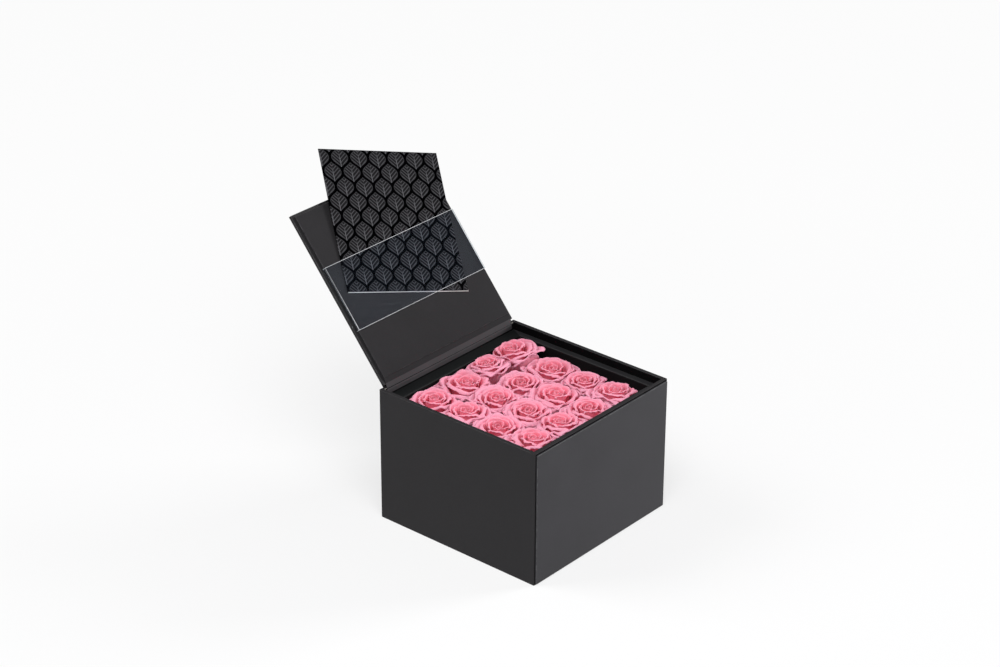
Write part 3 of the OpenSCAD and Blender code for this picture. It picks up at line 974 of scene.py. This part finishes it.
def pressBloom(bm, index):
    # neighbouring blooms meet along wavering faces, the well's walls hold them, and the closed
    # lid has pressed their tops
    centre, radius = bloomAt(index)
    # direction, distance, how much it wavers and how much it gives way above the shelf
    sides = [(Vector((-1, 0)), centre.x - bed["left"], 0, 0),
             (Vector((1, 0)), bed["right"] - centre.x, 0, 0),
             (Vector((0, -1)), centre.y - bed["front"], 0, 0),
             (Vector((0, 1)), bed["back"] - centre.y, 0, 1)]
    for other in range(len(leans)):
        place, size = bloomAt(other)
        away = place - centre
        if other != index and away.length < bed["near"]:
            share = radius / (radius + size)
            weave = bed["weave"] if index < other else -bed["weave"]
            sides.append((away.normalized(), away.length * share - bed["gap"], weave, 0))
    for vert in bm.verts:
        flat = Vector((vert.co.x, vert.co.y)) - centre
        over = max(0, (vert.co.z - bed["shelf"]) * bed["overhangRise"])
        over = min(bed["overhang"], over)
        sway = noise.noise(vert.co * bed["swayScale"])
        for side, limit, weave, gives in sides:
            reach = flat.dot(side)
            room = limit + over * gives + weave * sway
            flat += side * (pressed(reach, room, bed["squeeze"]) - reach)
        vert.co.x, vert.co.y = centre + flat
        vert.co.z = pressed(vert.co.z, bed["lid"] + lifts.get(index, 0), bed["flatten"])


# One rose, drawn with a radius of 18 and its rim near 0, and scaled to its bloom

# pairs are for the outermost petal and the heart, or the least and the most that a petal draws;
# waves are across, along and a layer of their own
rose = {"radius": 18, "petals": 18, "guards": 6, "guardReach": 0.25, "turn": 137.5,
        "jitter": 0.12, "seed": 100, "across": 24, "along": 18, "thick": 0.35, "stalk": 29.7,
        "halfWidth": (17.5, 3.8), "widthCurve": 0.9, "widthDraw": (0.82, 1.14), "neck": 0.36,
        "widest": 1.35, "tightest": 2.2, "edgeCurve": 2.6, "sideFall": (0.2, 0.1),
        "sidePull": (0.06, 0.0), "fallDraw": (-2.4, 1.2), "lap": 1.3, "lapHeart": 0.5,
        "dent": 2.3, "dentHeart": 0.25, "dentWaves": (1.3, 1.5, 0),
        "ruffle": 2.5, "ruffleHeart": 0.3, "ruffleDraw": (0.7, 1.3),
        "outWaves": (3.2, 2.0, 9), "upWaves": (3.0, 1, 20), "fray": 1.2, "frayWaves": (8, 1, 31),
        "tip": 1.2, "tipHeart": 0.4, "tipDraw": (0.1, 1.2), "tipHalf": 0.2, "tipOut": 0.7,
        "tipUp": 0.35, "waveSpread": 50}
petalStations = [
    # how far in a petal stands, then radius and height of its middle line from foot to rim
    (-0.25, [(3.6, -27), (14, -27.5), (17.5, -22), (19.5, -10), (25.5, -2.5), (28.0, -6.5)]),
    (0.0, [(3.2, -27), (14, -26), (15.5, -14), (15.2, -4.0), (21.0, -0.6), (22.8, -6.4)]),
    (0.35, [(2, -26), (12.5, -22), (12.4, -11), (10.8, -2.4), (14.2, 2.2), (16.0, -2.4)]),
    (0.6, [(1.5, -24), (9.0, -19), (9.4, -10), (7.6, -2.0), (8.6, 1.8), (10.2, 0.0)]),
    (1.0, [(0.8, -22), (3.0, -16), (2.8, -8), (2.0, -4.0), (1.6, -2.0), (1.3, -2.2)]),
]


def bezier(points, t):
    while len(points) > 1:
        points = [(mixed(a[0], b[0], t), mixed(a[1], b[1], t))
                  for a, b in zip(points, points[1:])]
    return points[0]


def petalShape(t, openness):
    # t is below 0 for the guard petals, 0 for the outermost of the head and 1 for its heart
    first, second = petalStations[0], petalStations[1]
    for station in petalStations[2:]:
        if t > second[0]:
            first, second = second, station
    part = max(0, (t - first[0]) / (second[0] - first[0]))
    points = [(mixed(a[0], b[0], part), mixed(a[1], b[1], part))
              for a, b in zip(first[1], second[1])]
    t = max(t, 0)
    fall = random.uniform(*rose["fallDraw"]) * (1 - t)
    spread = 1 + (openness - 1) * (1 - t)
    # only the upper half opens and falls, most of all the rim
    for number in (3, 4, 5):
        r, z = points[number]
        points[number] = (r * spread, z + fall * (number - 2) / 3)
    return points


def ripple(u, v, place, across, along, layer):
    return noise.noise(Vector((u * across + place, v * along, place + layer)))


def addPetal(bm, layers, azimuth, t, openness):
    uvLayer, heartLayer = layers
    points = petalShape(t, openness)
    t = max(t, 0)
    foot = points[0][1]
    halfWidth = (mixed(*rose["halfWidth"], t ** rose["widthCurve"])
                 * random.uniform(*rose["widthDraw"]))
    sideFall, sidePull = mixed(*rose["sideFall"], t), mixed(*rose["sidePull"], t)
    ruffle = (rose["ruffle"] * random.uniform(*rose["ruffleDraw"])
              * mixed(1, rose["ruffleHeart"], t))
    dent = rose["dent"] * mixed(1, rose["dentHeart"], t)
    tip = rose["tip"] * random.uniform(*rose["tipDraw"]) * mixed(1, rose["tipHeart"], t)
    lap = rose["lap"] * mixed(1, rose["lapHeart"], t)
    place = random.uniform(0, rose["waveSpread"])
    made = bmesh.ops.create_grid(bm, x_segments=rose["across"], y_segments=rose["along"], size=1)
    for vert in made["verts"]:
        # u runs across the petal from -1 to 1 and v along it from foot to rim
        u, v = vert.co.x, (vert.co.y + 1) / 2
        r, z = bezier(points, v)
        # the sides hang lower and lie closer in, and one side laps over the next petal
        edge = abs(u) ** rose["edgeCurve"]
        z = foot + (z - foot) * (1 - sideFall * edge)
        r = r * (1 - sidePull * edge) + lap * u * v
        # broad dents, a ruffle that grows towards the rim, and a frayed rim
        slow = ripple(u, v, place, *rose["dentWaves"])
        quick = ripple(u, v, place, *rose["outWaves"])
        r += dent * slow * v + ruffle * quick * v ** 3 * (0.5 + abs(u))
        z += ruffle * ripple(u, v, place, *rose["upWaves"]) * v ** 4
        r += rose["fray"] * ripple(u, v, place, *rose["frayWaves"]) * v ** 6
        # a soft point in the middle of the rim
        point = math.exp(-(u / rose["tipHalf"]) ** 2) * v ** 8 * tip
        r += point * rose["tipOut"]
        z += point * rose["tipUp"]
        # narrow at the foot and full width from three quarters up
        full = math.sin(min(1.0, v * rose["widest"]) * math.pi / 2)
        width = halfWidth * (rose["neck"] + (1 - rose["neck"]) * full)
        angle = azimuth + u * width / max(r, rose["tightest"])
        vert.co = Vector((r * math.cos(angle), r * math.sin(angle), z))
        vert[heartLayer] = t
        for loop in vert.link_loops:
            loop[uvLayer].uv = (u * 0.5 + 0.5, v)


# radius and height of the green cup under the petals
hip = [(0, -29.7), (2.6, -29.6), (4.2, -27.6), (5.2, -25.6), (4.2, -24.4), (0, -24.2)]


def addHip(bm):
    row, edges = drawLine(bm, [(r, 0, z) for r, z in hip])
    bmesh.ops.spin(bm, geom=row + edges, cent=(0, 0, 0), axis=(0, 0, 1), angle=2 * math.pi,
                   steps=16, use_merge=True)
    bmesh.ops.remove_doubles(bm, verts=bm.verts, dist=0.02)
    bmesh.ops.recalc_face_normals(bm, faces=bm.faces)


def growHead(bm, openness):
    addHip(bm)
    hipFaces = len(bm.faces)
    layers = bm.loops.layers.uv.new("petalUv"), bm.verts.layers.float.new("heart")
    start = random.uniform(0, 2 * math.pi)
    guards, inner = rose["guards"], rose["petals"] - 1
    for number in range(-guards, rose["petals"]):
        t = number / inner if number >= 0 else number * rose["guardReach"] / guards
        azimuth = (start + math.radians(rose["turn"]) * number
                   + random.uniform(-rose["jitter"], rose["jitter"]))
        addPetal(bm, layers, azimuth, t, openness)
    bm.faces.ensure_lookup_table()
    for number, face in enumerate(bm.faces):
        face.material_index = 1 if number < hipFaces else 0
        face.smooth = True


def addRose(index):
    centre, radius = bloomAt(index)
    random.seed(rose["seed"] + index)
    bm = bmesh.new()
    growHead(bm, openings[index])
    # the head leans about the foot of its hip
    scale = radius / rose["radius"]
    top = bed["top"] + lifts.get(index, 0)
    forward, right = (math.radians(angle) for angle in leans[index])
    stalk = Matrix.Translation((0, 0, -rose["stalk"]))
    lean = Matrix.Rotation(forward, 4, "X") @ Matrix.Rotation(right, 4, "Y")
    turnAll(bm, Matrix.Translation((centre.x, centre.y, top)) @ Matrix.Scale(scale, 4)
            @ stalk @ lean @ stalk.inverted())
    pressBloom(bm, index)
    turnAll(bm, Matrix.Scale(mm, 4))
    number = str(index + 1).zfill(2)
    piece = makePiece("rose" + number, bm, [petal, stem], "box", ["rose_" + number])
    skin = piece.modifiers.new("petalThickness", "SOLIDIFY")
    skin.thickness = rose["thick"] * mm
    skin.offset = 0
    if index in lifts:
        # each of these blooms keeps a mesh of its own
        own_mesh(piece)


for index in range(len(leans)):
    addRose(index)
print("sixteen roses made")
